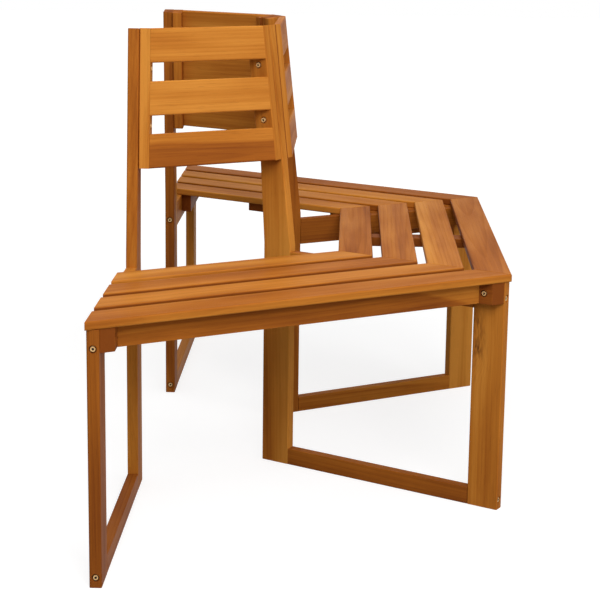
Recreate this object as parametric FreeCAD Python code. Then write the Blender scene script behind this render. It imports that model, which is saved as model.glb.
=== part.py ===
import FreeCAD, Part
import math
import os

os.makedirs("parts", exist_ok=True)
Vector = FreeCAD.Vector

# Half-hexagon tree bench. Lengths in mm, +Z up, floor at Z = 0.
# The hexagon is laid out around the tree axis; the finished bench is then moved
# so that the middle of its footprint lies on the origin.

# Seat
outer_corner_radius = 800.0      # tree axis to an outer seat corner
seat_height = 438.0
seat_slat_thickness = 14.0
seat_slat_width = 64.4
seat_slat_gap = 16.8
seat_slat_count = 4
mitre_clearance = 0.5            # each seat stops this far from the shared mitre plane
seat_slat_round = 3.0

# Leg frames
board_thickness = 20.0
leg_front_radius = 792.0         # tree axis to the front of a leg, along the frame
leg_width = 60.0
post_back_radius = 284.0         # tree axis to the back of a post, at the floor
post_width = 60.0                # below the lean; the upper half tapers
overall_height = 852.0
post_kink_height = 436.0         # above this the posts lean toward the tree
post_front_lean = 0.124          # run per rise of the front edge of the leaning half
post_back_lean = 0.064           # run per rise of its back edge
top_rail_height = 54.0
bottom_rail_height = 32.0
end_frame_inset = 1.0            # outer face of an end frame, in from the seat end
frame_edge_round = 2.5
rail_edge_round = 1.5

# Seat supports
cleat_thickness = 22.0
cleat_height = 39.0
cleat_front_setback = 3.0        # from the front edge of the seat
cleat_rear_setback = 10.0        # from the rear edge of the seat
apron_thickness = 20.0
apron_setback = 25.0
apron_height = 39.0
batten_width = 40.0
batten_height = 18.0
support_edge_round = 1.0

# Back panels
back_slat_width = 62.0
back_slat_gap = 33.0
back_slat_count = 3
back_slat_thickness = 14.0
back_slat_setback = 1.0          # slat fronts behind the front edge of the stiles
stile_thickness = 20.0           # the stiles lie flat against the sides of the posts
stile_depth = 40.0
stile_setback = 0.5              # stile front behind the front edge of a corner post
back_edge_round = 2.5

# Socket-head bolts
bolt_diameter = 6.0
bolt_hole_diameter = 6.5
bolt_head_diameter = 8.5
bolt_head_height = 6.0
bolt_socket_width = 4.0
bolt_socket_depth = 3.5
counterbore_diameter = 12.5
counterbore_depth = 7.5
frame_bolt_grip = 38.0           # length of bolt inside the rail
upper_bolt_height = 393.0        # frame bolts into the top rails
lower_bolt_height = 17.0         # frame bolts into the bottom rails
cleat_bolt_height = 404.0
cleat_bolt_radii = (761.0, 562.0)
cleat_bolt_grip = 9.0            # length of bolt inside the leg frame
back_bolt_grip = 9.0             # length of bolt inside the post
back_bolt_recess = 4.5           # seat of the head below the face of the stile
back_bolt_spread = 4.0           # upper bolt above, lower bolt below the middle of its gap

# Countersunk screws driven up into the seat slats, out of sight
screw_diameter = 4.0
screw_hole_diameter = 4.2
screw_head_diameter = 8.0
screw_head_height = 3.0
screw_length = 24.0
screw_pocket_diameter = 9.0
screw_bite = 9.0                 # length of screw inside a slat
cleat_screw_shift = 14.0         # from the middle of a slat toward the tree
apron_screw_spread = 280.0       # between the two screws of an apron
apron_screw_setback = 8.5        # screw line behind the front face of the apron

# Dowels between the back slats and the stiles
dowel_diameter = 6.0
dowel_hole_diameter = 6.2
dowel_spread = 30.0              # between the two dowels of a slat end
dowel_stile_depth = 7.0
dowel_slat_depth = 15.0
hole_end_room = 0.5              # each blind hole is this much longer than what it holds

half_turn = math.radians(30.0)
outer_apothem = outer_corner_radius * math.cos(half_turn)
inner_apothem = outer_apothem - seat_slat_count * seat_slat_width - (seat_slat_count - 1) * seat_slat_gap
seat_underside = seat_height - seat_slat_thickness
centring = Vector(0.0, outer_apothem / 2.0, 0.0)
up = Vector(0.0, 0.0, 1.0)
reach = 8000.0

# name, direction of the frame away from the tree, offset range across the frame
frames = {
    "left_end": (180.0, end_frame_inset, end_frame_inset + board_thickness),
    "left_corner": (240.0, -board_thickness / 2.0, board_thickness / 2.0),
    "right_corner": (300.0, -board_thickness / 2.0, board_thickness / 2.0),
    "right_end": (360.0, -end_frame_inset - board_thickness, -end_frame_inset),
}

# name, direction the seat faces, frame at each end in turning order
segments = {
    "left": (210.0, "left_end", "left_corner"),
    "middle": (270.0, "left_corner", "right_corner"),
    "right": (330.0, "right_corner", "right_end"),
}


def heading(degrees):
    angle = math.radians(degrees)
    return Vector(math.cos(angle), math.sin(angle), 0.0)


def sideways(direction):
    return Vector(-direction.y, direction.x, 0.0)


def unit(vector):
    return vector * (1.0 / vector.Length)


def trim(shape, point, normal):
    """Remove everything on the side of a plane that its normal points to."""
    block = Part.makeBox(reach, reach, reach, Vector(-reach / 2.0, -reach / 2.0, 0.0))
    block.Placement = FreeCAD.Placement(point, FreeCAD.Rotation(up, normal))
    return shape.cut(block)


def board(planes):
    """A flat-sided board bounded by planes given as (point, outward normal)."""
    blank = reach / 2.0
    shape = Part.makeBox(blank, blank, blank, Vector(-blank / 2.0, -blank / 2.0, -blank / 2.0))
    for point, normal in planes:
        shape = trim(shape, point, normal)
    return shape.Solids[0]


def edges_along(shape, axis, tolerance=0.05):
    found = []
    for edge in shape.Edges:
        ends = [vertex.Point for vertex in edge.Vertexes]
        if len(ends) == 2:
            run = unit(ends[1].sub(ends[0]))
            if run.cross(axis).Length < tolerance:
                found.append(edge)
    return found


def soften(shape, axis, radius):
    return shape.makeFillet(radius, edges_along(shape, axis)).Solids[0]


def frame_axes(name):
    out = heading(frames[name][0])
    return out, sideways(out)


def frame_box(name, near, far, low, high):
    """A board lying in a leg frame, between two radii and two heights."""
    out, across = frame_axes(name)
    start, stop = frames[name][1:]
    return board([
        (out * near, out * -1.0),
        (out * far, out),
        (across * start, across * -1.0),
        (across * stop, across),
        (up * low, up * -1.0),
        (up * high, up),
    ])


def post_front(height):
    return post_back_radius + post_width - max(0.0, height - post_kink_height) * post_front_lean


def post_back(height):
    return post_back_radius - max(0.0, height - post_kink_height) * post_back_lean


def make_post(name):
    """A post whose top is cut square to its leaning front edge."""
    out, across = frame_axes(name)
    start, stop = frames[name][1:]
    top_depth = post_front(overall_height) - post_back(overall_height)
    rear_height = overall_height - top_depth * post_front_lean
    corners = []
    for height in (0.0, post_kink_height, overall_height):
        corners.append((post_front(height), height))
    for height in (rear_height, post_kink_height, 0.0):
        corners.append((post_back(height), height))
    points = [out * radius + across * start + up * height for radius, height in corners]
    face = Part.Face(Part.makePolygon(points + points[:1]))
    solid = face.extrude(across * (stop - start)).Solids[0]
    long_edges = edges_along(solid, up, 0.2)
    return solid.makeFillet(frame_edge_round, long_edges).Solids[0]


def hole(point, direction, diameter, length):
    return Part.makeCylinder(diameter / 2.0, length, point, direction)


def make_bolt(seat_point, direction, length):
    """A bolt whose head bears on seat_point and whose shank runs along direction."""
    head = Part.makeCylinder(bolt_head_diameter / 2.0, bolt_head_height, seat_point, direction * -1.0)
    shank = Part.makeCylinder(bolt_diameter / 2.0, length, seat_point, direction)
    top = seat_point - direction * bolt_head_height
    side = unit(direction.cross(up))
    rise = unit(side.cross(direction))
    corners = []
    for step in range(6):
        angle = math.radians(60.0 * step)
        spoke = side * math.cos(angle) + rise * math.sin(angle)
        corners.append(top + spoke * (bolt_socket_width / 2.0 / math.cos(half_turn)))
    socket = Part.Face(Part.makePolygon(corners + corners[:1])).extrude(direction * bolt_socket_depth)
    return head.fuse(shank).cut(socket).removeSplitter().Solids[0]


def seat_planes(name, near, far, low, high):
    """Planes that bound a board running along a seat, apart from its two ends."""
    face = heading(segments[name][0])
    return [
        (face * near, face * -1.0),
        (face * far, face),
        (up * low, up * -1.0),
        (up * high, up),
    ]


def seat_end_planes(name):
    """The mitre or end plane at each end of a seat."""
    first, last = segments[name][1:]
    planes = []
    for frame, sign in ((first, -1.0), (last, 1.0)):
        across = frame_axes(frame)[1]
        back_off = mitre_clearance if "corner" in frame else 0.0
        planes.append((across * (-sign * back_off), across * sign))
    return planes


def frame_side(frame, sign, gap=0.0):
    """Face of a leg frame toward the seat that lies on its far (+1) or near (-1) side."""
    across = frame_axes(frame)[1]
    start, stop = frames[frame][1:]
    offset = start - gap if sign > 0 else stop + gap
    return across * offset, across * sign


def make_seat(name):
    direction, first, last = segments[name]
    along = sideways(heading(direction))
    made = {}
    for index in range(seat_slat_count):
        near = inner_apothem + index * (seat_slat_width + seat_slat_gap)
        planes = seat_planes(name, near, near + seat_slat_width, seat_underside, seat_height)
        slat = board(planes + seat_end_planes(name))
        made["%s_seat_slat_%d" % (name, index + 1)] = soften(slat, along, seat_slat_round)

    cleat_low = seat_underside - cleat_height
    cleat_range = (inner_apothem + cleat_rear_setback, outer_apothem - cleat_front_setback)
    for frame, sign, label in ((first, -1.0, "left"), (last, 1.0, "right")):
        planes = seat_planes(name, cleat_range[0], cleat_range[1], cleat_low, seat_underside)
        point, normal = frame_side(frame, sign)
        inner = point - normal * cleat_thickness
        cleat = board(planes + [(point, normal), (inner, normal * -1.0)])
        made["%s_seat_%s_cleat" % (name, label)] = soften(cleat, frame_axes(frame)[0], support_edge_round)

    apron_far = outer_apothem - apron_setback
    ends = []
    for frame, sign in ((first, -1.0), (last, 1.0)):
        ends.append(frame_side(frame, sign, cleat_thickness))
    planes = seat_planes(name, apron_far - apron_thickness, apron_far,
                         seat_underside - apron_height, seat_underside)
    made[name + "_seat_apron"] = soften(board(planes + ends), along, support_edge_round)

    planes = seat_planes(name, cleat_range[0], apron_far - apron_thickness,
                         seat_underside - batten_height, seat_underside)
    sides = [(along * (sign * batten_width / 2.0), along * sign) for sign in (-1.0, 1.0)]
    batten = board(planes + sides)
    made[name + "_seat_batten"] = soften(batten, heading(direction), support_edge_round)
    return made


def back_plane(name, depth):
    """Plane parallel to the slat fronts of a back panel, a given depth behind them."""
    face = heading(segments[name][0])
    radius = post_front(overall_height) - stile_setback - back_slat_setback
    offset = board_thickness / 2.0 + stile_thickness
    top_point = face * (radius * math.cos(half_turn) + offset * math.sin(half_turn)) + up * overall_height
    normal = unit(face + up * (post_front_lean * math.cos(half_turn)))
    return top_point - normal * depth, normal


def back_level(name, drop):
    """Point and upward normal of a line across the panel, measured down from its top."""
    top_point, normal = back_plane(name, 0.0)
    along = sideways(heading(segments[name][0]))
    rise = unit(along.cross(normal) * -1.0)
    if rise.z < 0:
        rise = rise * -1.0
    return top_point - rise * drop, rise


def stile_edge(name, frame, sign, height):
    """Point of the front edge of a stile on its face toward the slats, at a given height."""
    face = heading(segments[name][0])
    out = frame_axes(frame)[0]
    inner = frame_side(frame, sign, stile_thickness)[0]
    top_point = back_plane(name, 0.0)[0]
    radius = (top_point - inner).dot(face) / out.dot(face) + back_slat_setback
    return inner + out * (radius + (overall_height - height) * post_front_lean) + up * height


def make_back(name):
    direction, first, last = segments[name]
    along = sideways(heading(direction))
    pitch = back_slat_width + back_slat_gap
    panel_height = back_slat_count * back_slat_width + (back_slat_count - 1) * back_slat_gap
    front, front_normal = back_plane(name, 0.0)
    slat_rear = back_plane(name, back_slat_thickness)[0]
    bottom, rise = back_level(name, panel_height)
    made = {}
    ends = []
    for frame, sign, label in ((first, -1.0, "left"), (last, 1.0, "right")):
        out = frame_axes(frame)[0]
        outer, normal = frame_side(frame, sign)
        inner = outer - normal * stile_thickness
        ends.append((inner, normal))
        edge = stile_edge(name, frame, sign, overall_height)
        forward = unit(out + up * post_front_lean)
        run = unit(up - out * post_front_lean)
        stile = board([
            (outer, normal),
            (inner, normal * -1.0),
            (edge, forward),
            (edge - forward * stile_depth, forward * -1.0),
            (edge, run),
            (stile_edge(name, frame, sign, bottom.z), run * -1.0),
        ])
        made["%s_back_%s_stile" % (name, label)] = soften(stile, run, back_edge_round)
    for index in range(back_slat_count):
        upper = back_level(name, index * pitch)[0]
        lower = back_level(name, index * pitch + back_slat_width)[0]
        slat = board([
            (front, front_normal),
            (slat_rear, front_normal * -1.0),
            (upper, rise),
            (lower, rise * -1.0),
        ] + ends)
        made["%s_back_slat_%d" % (name, index + 1)] = soften(slat, along, back_edge_round)
    return made


def make_frame(name):
    rail_near = post_back_radius + post_width
    rail_far = leg_front_radius - leg_width
    made = {name + "_post": make_post(name)}
    leg = frame_box(name, rail_far, leg_front_radius, 0.0, seat_underside)
    made[name + "_leg"] = soften(leg, up, frame_edge_round)
    out = frame_axes(name)[0]
    top_rail = frame_box(name, rail_near, rail_far, seat_underside - top_rail_height, seat_underside)
    made[name + "_top_rail"] = soften(top_rail, out, rail_edge_round)
    bottom_rail = frame_box(name, rail_near, rail_far, 0.0, bottom_rail_height)
    made[name + "_bottom_rail"] = soften(bottom_rail, out, rail_edge_round)
    return made


def fasten(pieces, bolts, names, surface, direction, grip, seat_depth=counterbore_depth):
    """Drill the named pieces along a line and drop one bolt into it.

    The head bears seat_depth inside the surface point; grip is the bolt length below the head.
    """
    bearing = surface + direction * seat_depth
    recess = hole(surface, direction, counterbore_diameter, seat_depth)
    drill = hole(surface, direction, bolt_hole_diameter, seat_depth + grip + hole_end_room)
    cutter = recess.fuse(drill)
    for name in names:
        pieces[name] = pieces[name].cut(cutter).Solids[0]
    bolts.append(make_bolt(bearing, direction, grip))


def make_screw(tip, length):
    """A countersunk screw pointing straight up, with its point at tip."""
    start = tip - up * length
    head = Part.makeCone(screw_head_diameter / 2.0, screw_diameter / 2.0, screw_head_height, start, up)
    shank = Part.makeCylinder(screw_diameter / 2.0, length, start, up)
    return head.fuse(shank).removeSplitter().Solids[0]


def screw_up(pieces, screws, support, slat, spot):
    """Drive one screw up through a support into the slat above it; spot gives X and Y."""
    tip = Vector(spot.x, spot.y, seat_underside + screw_bite)
    head_level = tip - up * screw_length
    pocket = hole(head_level + up * screw_head_height, up * -1.0, screw_pocket_diameter, 2.0 * cleat_height)
    drill = hole(head_level, up, screw_hole_diameter, screw_length + hole_end_room)
    cutter = pocket.fuse(drill)
    for name in (support, slat):
        pieces[name] = pieces[name].cut(cutter).Solids[0]
    screws.append(make_screw(tip, screw_length))


def dowel_in(pieces, dowels, stile, slat, joint, outward):
    """Peg a slat end to its stile; joint lies on the face between them."""
    start = joint - outward * dowel_slat_depth
    length = dowel_slat_depth + dowel_stile_depth
    drill = hole(start - outward * hole_end_room, outward, dowel_hole_diameter, length + 2.0 * hole_end_room)
    for name in (stile, slat):
        pieces[name] = pieces[name].cut(drill).Solids[0]
    dowels.append(Part.makeCylinder(dowel_diameter / 2.0, length, start, outward))


def frame_middle(name):
    start, stop = frames[name][1:]
    return frame_axes(name)[1] * ((start + stop) / 2.0)


pieces = {}
for frame_name in frames:
    pieces.update(make_frame(frame_name))
for segment_name in segments:
    pieces.update(make_seat(segment_name))
    pieces.update(make_back(segment_name))

frame_bolts = []
for frame_name in frames:
    out = frame_axes(frame_name)[0]
    centre = frame_middle(frame_name)
    for rail, height in (("_top_rail", upper_bolt_height), ("_bottom_rail", lower_bolt_height)):
        grip = leg_width - counterbore_depth + frame_bolt_grip
        surface = centre + out * leg_front_radius + up * height
        fasten(pieces, frame_bolts, [frame_name + "_leg", frame_name + rail], surface, out * -1.0, grip)
        grip = post_width - counterbore_depth + frame_bolt_grip
        surface = centre + out * post_back_radius + up * height
        fasten(pieces, frame_bolts, [frame_name + "_post", frame_name + rail], surface, out, grip)

cleat_bolts = []
back_bolts = []
for segment_name, (direction, first, last) in segments.items():
    for frame_name, sign, label in ((first, -1.0, "left"), (last, 1.0, "right")):
        out = frame_axes(frame_name)[0]
        point, normal = frame_side(frame_name, sign)
        cleat_name = "%s_seat_%s_cleat" % (segment_name, label)
        for radius, support in zip(cleat_bolt_radii, ("_leg", "_top_rail")):
            surface = point - normal * cleat_thickness + out * radius + up * cleat_bolt_height
            grip = cleat_thickness - counterbore_depth + cleat_bolt_grip
            fasten(pieces, cleat_bolts, [cleat_name, frame_name + support], surface, normal, grip)

        stile_name = "%s_back_%s_stile" % (segment_name, label)
        for index in range(back_slat_count - 1):
            drop = (index + 1) * back_slat_width + (index + 0.5) * back_slat_gap
            height = back_level(segment_name, drop)[0].z + back_bolt_spread * (1.0 - 2.0 * index)
            surface = stile_edge(segment_name, frame_name, sign, height) - out * (stile_depth / 2.0)
            grip = stile_thickness - back_bolt_recess + back_bolt_grip
            fasten(pieces, back_bolts, [stile_name, frame_name + "_post"], surface, normal, grip,
                   back_bolt_recess)

seat_screws = []
for segment_name, (direction, first, last) in segments.items():
    face = heading(direction)
    along = sideways(face)
    slat_middles = []
    for index in range(seat_slat_count):
        slat_middles.append(inner_apothem + index * (seat_slat_width + seat_slat_gap) + seat_slat_width / 2.0)
    slat_names = ["%s_seat_slat_%d" % (segment_name, index + 1) for index in range(seat_slat_count)]
    for frame_name, sign, label in ((first, -1.0, "left"), (last, 1.0, "right")):
        point, normal = frame_side(frame_name, sign, cleat_thickness / 2.0)
        for middle, slat_name in zip(slat_middles, slat_names):
            on_face = face * (middle - cleat_screw_shift)
            spot = on_face + along * ((point - on_face).dot(normal) / along.dot(normal))
            cleat_name = "%s_seat_%s_cleat" % (segment_name, label)
            screw_up(pieces, seat_screws, cleat_name, slat_name, spot)
    for middle, slat_name in list(zip(slat_middles, slat_names))[:-1]:
        screw_up(pieces, seat_screws, segment_name + "_seat_batten", slat_name, face * middle)
    for sign in (-1.0, 1.0):
        screw_line = face * (outer_apothem - apron_setback - apron_screw_setback)
        spot = screw_line + along * (sign * apron_screw_spread / 2.0)
        screw_up(pieces, seat_screws, segment_name + "_seat_apron", slat_names[-1], spot)

back_dowels = []
for segment_name, (direction, first, last) in segments.items():
    along = sideways(heading(direction))
    mid_depth = back_plane(segment_name, 0.0)[1] * (back_slat_thickness / 2.0)
    for frame_name, sign, label in ((first, -1.0, "left"), (last, 1.0, "right")):
        stile_name = "%s_back_%s_stile" % (segment_name, label)
        inner, normal = frame_side(frame_name, sign, stile_thickness)
        for index in range(back_slat_count):
            slat_name = "%s_back_slat_%d" % (segment_name, index + 1)
            middle_drop = index * (back_slat_width + back_slat_gap) + back_slat_width / 2.0
            for shift in (-dowel_spread / 2.0, dowel_spread / 2.0):
                level = back_level(segment_name, middle_drop + shift)[0] - mid_depth
                joint = level + along * ((inner - level).dot(normal) / along.dot(normal))
                dowel_in(pieces, back_dowels, stile_name, slat_name, joint, along * sign)

groups = {
    "frame_bolts": frame_bolts,
    "cleat_bolts": cleat_bolts,
    "back_bolts": back_bolts,
    "seat_screws": seat_screws,
    "back_dowels": back_dowels,
}
for group_name, solids in groups.items():
    pieces[group_name] = Part.makeCompound(solids)

for piece_name, shape in pieces.items():
    placed = shape.copy()
    placed.translate(centring)
    placed.exportStep("parts/%s.step" % piece_name)
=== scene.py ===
import math
import random

import bmesh
import bpy
import numpy as np
from bpy.props import FloatProperty, FloatVectorProperty, IntProperty, PointerProperty
from mathutils import Matrix, Vector


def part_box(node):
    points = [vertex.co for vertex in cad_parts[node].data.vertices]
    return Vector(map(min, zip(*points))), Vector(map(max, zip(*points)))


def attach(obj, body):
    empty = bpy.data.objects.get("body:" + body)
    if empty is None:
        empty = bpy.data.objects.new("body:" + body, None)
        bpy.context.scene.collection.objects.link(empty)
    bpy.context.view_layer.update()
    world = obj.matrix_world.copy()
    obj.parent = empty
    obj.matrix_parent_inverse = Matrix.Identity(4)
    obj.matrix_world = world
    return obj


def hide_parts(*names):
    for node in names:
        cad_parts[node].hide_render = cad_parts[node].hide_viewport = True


bl_info = {
    "name": "Tree bench",
    "version": (1, 0, 0),
    "blender": (4, 5, 0),
    "location": "View3D > Sidebar > Tree bench",
    "description": "Dresses a half-hexagon tree bench in oiled hardwood, in a plain studio",
    "category": "Object",
}

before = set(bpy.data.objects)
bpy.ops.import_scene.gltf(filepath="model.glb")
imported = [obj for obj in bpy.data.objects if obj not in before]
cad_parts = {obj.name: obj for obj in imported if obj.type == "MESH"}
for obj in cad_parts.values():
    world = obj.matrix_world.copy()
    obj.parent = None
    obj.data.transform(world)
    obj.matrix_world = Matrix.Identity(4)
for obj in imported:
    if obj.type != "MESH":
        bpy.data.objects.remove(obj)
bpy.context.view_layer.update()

UP = Vector((0.0, 0.0, 1.0))
BODY = "root"

# The bench is half a hexagon round the tree. Leg frames stand on lines out from the tree, and
# each seat faces halfway between two of them. Headings are degrees about +Z. Left and right are
# as seen by someone who stands in front of the bench.
SIDES = ("left", "right")
LEG_FRAMES = {"left_end": 180.0, "left_corner": 240.0, "right_corner": 300.0, "right_end": 360.0}
SEATS = {
    "left": (210.0, "left_end", "left_corner"),
    "middle": (270.0, "left_corner", "right_corner"),
    "right": (330.0, "right_corner", "right_end"),
}
SEAT_SLATS = 4
BACK_SLATS = 3

# How dark each board was picked, from 0 for pale gold to 1 for red-brown. Boards that aren't
# listed take DEFAULT_TONE.
DEFAULT_TONE = 0.5
BOARD_TONES = {
    "left_back_slat_1": 0.31, "left_back_slat_2": 0.22, "left_back_slat_3": 0.74,
    "left_back_left_stile": 0.14, "left_back_right_stile": 0.54,
    "middle_back_left_stile": 0.24, "middle_back_right_stile": 0.40,
    "right_back_slat_1": 0.38, "right_back_slat_2": 0.26, "right_back_slat_3": 0.44,
    "right_back_left_stile": 0.50, "right_back_right_stile": 0.54,
    "left_seat_slat_1": 0.28, "left_seat_slat_2": 0.54,
    "left_seat_slat_3": 0.42, "left_seat_slat_4": 0.55,
    "middle_seat_slat_1": 0.57, "middle_seat_slat_2": 0.50,
    "middle_seat_slat_3": 0.34, "middle_seat_slat_4": 0.60,
    "right_seat_slat_1": 0.36, "right_seat_slat_2": 0.38,
    "right_seat_slat_3": 0.40, "right_seat_slat_4": 0.66,
    "left_seat_apron": 0.56, "middle_seat_apron": 0.62,
    # Cleats and battens sit under the seats; their dark tones are partly their wood and partly
    # painted shade under the seats
    "left_seat_left_cleat": 0.78, "left_seat_right_cleat": 0.80,
    "middle_seat_left_cleat": 0.80, "middle_seat_right_cleat": 0.76,
    "right_seat_left_cleat": 0.70, "right_seat_right_cleat": 0.88,
    "left_seat_batten": 0.74, "middle_seat_batten": 0.86, "right_seat_batten": 0.88,
    "left_end_leg": 0.80, "left_corner_leg": 0.33,
    "right_corner_leg": 0.08, "right_end_leg": 0.26,
    "left_end_post": 0.50, "left_corner_post": 0.30,
    "right_corner_post": 0.62, "right_end_post": 0.70,
    "left_end_top_rail": 0.60, "right_corner_top_rail": 0.74,
    "left_end_bottom_rail": 0.83, "left_corner_bottom_rail": 0.70,
    "right_corner_bottom_rail": 0.58,
}

# Boards with a band of pale sapwood: the direction into it, along and across the board, and how
# far from the board's middle it starts. On the others it would start outside the board. The
# edge of a band wavers and fades over a few millimetres.
SAPWOOD = {
    "left_back_slat_3": ((-0.02, -1.0), 0.012),
    "left_corner_post": ((0.0, 1.0), 0.018),
    "left_seat_apron": ((-0.30, 1.0), 0.078),
    "left_seat_slat_1": ((0.03, 1.0), 0.016),
    "right_back_slat_2": ((0.05, 1.0), 0.010),
    "right_seat_slat_3": ((0.02, -1.0), 0.008),
    "middle_seat_slat_3": ((0.04, -1.0), 0.020),
    "middle_back_slat_2": ((0.04, 1.0), 0.012),
    "right_end_post": ((0.0, 1.0), 0.014),
    "left_end_top_rail": ((0.05, 1.0), 0.014),
    "right_corner_bottom_rail": ((0.06, 1.0), 0.010),
}
NO_SAPWOOD = ((0.0, 0.0), 1.0)
SAPWOOD_WAVER = 0.006
SAPWOOD_EDGE = (-0.003, 0.004)

# Painted shade on edges turned to a neighbour: on those of a stile toward its post, in the groove
# between them, and on those of a seat slat toward the next one, in the gap between them. A turn
# gives where the shade starts and over how much it fills, with 1 for a normal that points
# straight at the neighbour.
SEAM_PAINTED_SHADE = 0.9
SEAM_SHADE_TURN = (0.15, 0.35)
SLAT_GAP_PAINTED_SHADE = 0.5
SLAT_GAP_SHADE_TURN = (0.55, 0.4)

# Where a board was sawn from its log, in metres: along it, beside its heart and away from it
LOG_LENGTH = 30.0
HEART_ASIDE = 0.06
HEART_AWAY = (0.012, 0.055)

# Faces whose normal lies this much along the board are end grain
END_GRAIN_TURN = 0.75

# Meshes: metres within which points are one, degrees by which faces may bend and still be one
# flat and by which an edge turns to be sharp, and the length of a slat before it is cut
WELD_DISTANCE = 1e-6
FLAT_ANGLE = 0.4
SHARP_ANGLE = 50.0
BLANK_LENGTH = 2.0

# Bolts lie along headings in this step. A bolt's widest points are those of its head. Faces of a
# key socket lie within a share of its width, a little below the top of the head.
BOLT_STEP = 30.0
HEAD_SHARE = 0.9
SOCKET_REACH = 0.56
SOCKET_SKIN = 0.0003

# Noise: frequency per metre along three directions, detail and roughness; and the range that
# most of it lies in
NOISES = {
    "ring_waver": ((1.3, 5.0, 5.0), 2.0, 0.5),
    "stripes": ((0.9, 42.0, 42.0), 3.0, 0.55),
    "fibres": ((5.0, 330.0, 330.0), 3.0, 0.6),
    "patches": ((3.2, 17.0, 17.0), 2.0, 0.5),
    "pores": ((34.0, 1100.0, 1100.0), 1.0, 0.5),
    "sapwood_waver": ((4.0, 9.0, 9.0), 2.0, 0.5),
    "knot_streaks": ((45.0, 190.0, 190.0), 2.0, 0.5),
    "plating_clouds": ((260.0, 260.0, 260.0), 3.0, 0.5),
    "plating_scuffs": ((1500.0, 1500.0, 400.0), 2.0, 0.5),
    "peg_flecks": ((420.0, 420.0, 420.0), 3.0, 0.5),
    "paper_flecks": ((30.0, 30.0, 30.0), 3.0, 0.5),
}
NOISE_MIDDLE = (0.25, 0.75)

# Growth rings: sway and slant of the heart line, how late in a ring the wood darkens, where the
# dark line ends, and the rings that a knot pushes aside
HEART_WAVER = 0.008
HEART_SLANT = 0.02
LATE_WOOD = 2.5
RING_END = 0.93
KNOT_RINGS = 5.0

# How far each part of the figure moves a board's tone. Pale boards show more of it than dark
# ones. Sapwood takes away a share of the tone.
STRIPE_SWING = 0.17
PATCH_SWING = 0.17
FIBRE_SWING = 0.09
FIGURE_BY_TONE = (0.1, 0.9, 1.8, 0.9)
RING_SHADE = 0.13
END_GRAIN_SHADE = 0.22
SAPWOOD_SHARE = 0.62
PORE_RANGE = (0.62, 0.74)
PORE_SHADE = 0.22
DARK_WOOD = (0.085, 0.022, 0.007, 1.0)

# Where the four wood colours lie between tones 0 and 1
PALE_AT, HONEY_AT, AMBER_AT, RUSSET_AT = 0.0, 0.34, 0.66, 1.0

# Knots: the board that has them, places along and across it, length and width of the swirl and
# of the heart, and how each strength is spread
KNOTTED_BOARD = "left_corner_leg"
KNOTS = ((0.130, -0.024), (0.083, -0.021))
SWIRL_SIZE = (0.036, 0.020)
HEART_SIZE = (0.013, 0.010)
STREAK_SPREAD = (0.42, 0.6, 0.15, 1.0)
HEART_SPREAD = (0.1, 0.8, 0.0, 0.95)
HALO_SPREAD = (0.2, 1.2, 0.0, 0.5)

# Gloss and relief of the wood
ROUGH_RANGE = (0.2, 0.8)
ROUGH_SWING = 0.06
RING_ROUGH = 0.05
END_GRAIN_ROUGH = 0.15
FIBRE_RELIEF, PORE_RELIEF, RING_RELIEF = 0.5, -0.8, -0.25
WOOD_RELIEF = 0.5
WOOD_SHEEN = 0.02
COAT_ROUGH = 0.28

# Plating, with dull clouds and scuffs, and painted shade inside a key socket
CLOUD_RANGE = (0.35, 0.7)
CLOUD_DULL = 0.75
SCUFF_RANGE = (0.3, 0.7)
SCUFF_RELIEF = (0.25, 0.00008)
SOCKET_PAINTED_SHADE = (0.025, 0.016, 0.010, 1.0)

# Bare pegs
FLECK_RANGE = (0.3, 0.7)
PEG_PALE = (0.62, 0.40, 0.20, 1.0)
PEG_DARK = (0.46, 0.27, 0.12, 1.0)
PEG_RELIEF = (0.3, 0.0001)
PEG_ROUGH = 0.7

# Studio: place and width of each lamp and where they aim, the camera's sensor in millimetres,
# the floor's half width, and the metres from the middle over which it turns white
LAMPS = {
    "key": ((-3.0, -0.3, 2.6), 2.4),
    "fill": ((-1.9, -2.9, 1.2), 2.0),
    "top": ((-0.2, 0.0, 2.9), 3.0),
}
LAMP_TARGET = (0.0, 0.1, 0.45)
SENSOR_WIDTH = 36.0
FLOOR_HALF = 14.0
FLECK_DULL = 0.98
GLOW_REACH = (1.0, 3.2)
WHITE = (1.0, 1.0, 1.0, 1.0)


def settings():
    return bpy.context.scene.tree_bench


class WoodLook(bpy.types.PropertyGroup):
    """Colours and grain of the oiled boards."""

    pale: FloatVectorProperty(
        name="Pale", description="Palest boards", subtype="COLOR", size=3,
        default=(0.640, 0.255, 0.040))
    honey: FloatVectorProperty(
        name="Honey", description="Light boards", subtype="COLOR", size=3,
        default=(0.520, 0.182, 0.024))
    amber: FloatVectorProperty(
        name="Amber", description="Middle boards", subtype="COLOR", size=3,
        default=(0.385, 0.115, 0.014))
    russet: FloatVectorProperty(
        name="Russet", description="Darkest boards", subtype="COLOR", size=3,
        default=(0.225, 0.058, 0.009))
    ring_width: FloatProperty(
        name="Ring width", description="Spacing of the growth rings", default=0.0065,
        unit="LENGTH")
    roughness: FloatProperty(
        name="Roughness", description="Roughness of the oiled surface", default=0.50,
        min=0.0, max=1.0)
    coat: FloatProperty(
        name="Oil film", description="Weight of the clear film over the wood", default=0.02,
        min=0.0, max=1.0)
    bump: FloatProperty(
        name="Pore depth", description="Height of the grain relief", default=0.00025,
        unit="LENGTH")


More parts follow.
